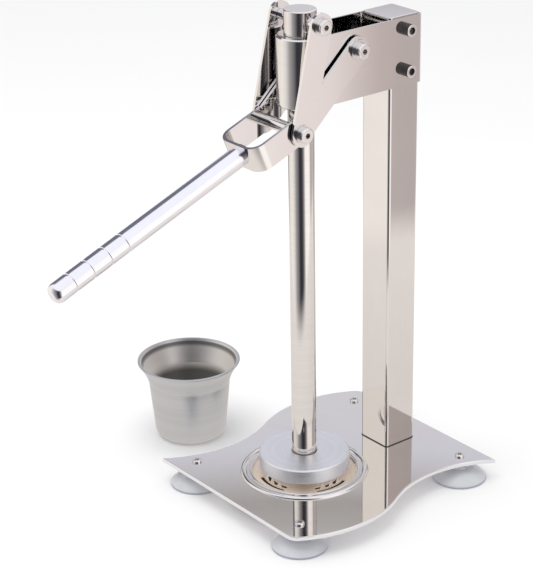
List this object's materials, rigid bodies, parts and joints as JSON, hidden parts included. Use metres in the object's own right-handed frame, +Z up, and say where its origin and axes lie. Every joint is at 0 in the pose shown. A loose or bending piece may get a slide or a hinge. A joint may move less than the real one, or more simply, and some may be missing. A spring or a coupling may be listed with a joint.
{
  "type": "lever fruit press",
  "caption": "Bench-top lever fruit press: a forked hand lever and links drive a round ram and disc down onto a strainer in a footed base plate; with a loose cup.",
  "frame": {"origin": "the point of the bench straight below the ram's axis", "axes": "+Z up along the ram; -Y the way the handle points, +Y towards the column; +X to the right of the handle"},
  "size_m": [0.3541, 0.4527, 0.5048],
  "materials": {
    "polished_steel": "mirror polished stainless steel",
    "fastener_steel": "bright turned stainless steel",
    "aluminium": "satin turned aluminium",
    "cup_steel": "satin stainless steel",
    "suction_rubber": "soft translucent grey-blue rubber",
    "bush_polymer": "plain natural polymer"
  },
  "bodies": {
    "frame": {"base_plate": "polished_steel", "bracket_bolt_lower": "fastener_steel", "bracket_bolt_upper": "fastener_steel", "bracket_nut_lower": "fastener_steel", "bracket_nut_upper": "fastener_steel", "column": "polished_steel", "column_cap": "polished_steel", "column_foot": "polished_steel", "column_screw_left": "fastener_steel", "column_screw_right": "fastener_steel", "foot_screw_front_left": "fastener_steel", "foot_screw_front_right": "fastener_steel", "foot_screw_rear_left": "fastener_steel", "foot_screw_rear_right": "fastener_steel", "guide_bush_lower": "bush_polymer", "guide_bush_upper": "bush_polymer", "guide_sleeve": "polished_steel", "head_bracket": "polished_steel", "pivot_lock_washer_left": "fastener_steel", "pivot_lock_washer_right": "fastener_steel", "pivot_pin": "fastener_steel", "pivot_screw_left": "fastener_steel", "pivot_screw_right": "fastener_steel", "pivot_spacer_left": "fastener_steel", "pivot_spacer_right": "fastener_steel", "pivot_washer_left": "fastener_steel", "pivot_washer_right": "fastener_steel", "strainer": "polished_steel", "suction_foot_front_left": "suction_rubber", "suction_foot_front_right": "suction_rubber", "suction_foot_rear_left": "suction_rubber", "suction_foot_rear_right": "suction_rubber"},
    "ram": {"ram_rod": "polished_steel", "ram_head": "polished_steel", "head_pin": "fastener_steel", "press_disc": "aluminium", "disc_screw": "fastener_steel"},
    "fork": {"fork": "polished_steel", "handle_bar": "aluminium", "handle_nut": "fastener_steel", "fork_spacer": "fastener_steel", "link_pin": "fastener_steel", "link_washer_lower_left": "fastener_steel", "link_washer_lower_right": "fastener_steel", "link_screw_lower_left": "fastener_steel", "link_screw_lower_right": "fastener_steel"},
    "links": {"link_left": "polished_steel", "link_right": "polished_steel", "link_washer_upper_left": "fastener_steel", "link_washer_upper_right": "fastener_steel", "link_screw_upper_left": "fastener_steel", "link_screw_upper_right": "fastener_steel"},
    "cup": {"cup": "cup_steel"}
  },
  "joints": [
    {"name": "lever_hinge", "type": "hinge", "parent": "frame", "child": "fork", "pos_m": [0, 0.04852, 0.46], "axis": [-1, 0, 0], "range_deg": [0, 84]},
    {"name": "ram_slide", "type": "slide", "parent": "frame", "child": "ram", "axis": [0, 0, 1], "range_m": [0, 0.12954]},
    {"name": "link_pivot", "type": "hinge", "parent": "fork", "child": "links", "pos_m": [0, -0.023, 0.39447], "axis": [1, 0, 0], "range_deg": [0, 83.34]},
    {"name": "cup_lift", "type": "slide", "parent": "frame", "child": "cup", "axis": [0, 0, 1], "range_m": [0, 0.12]}
  ],
  "couplings": [
    {"joint": "ram_slide", "follows": "lever_hinge", "m_per_rad": 0.088354},
    {"joint": "link_pivot", "follows": "lever_hinge", "ratio": 0.99209}
  ]
}
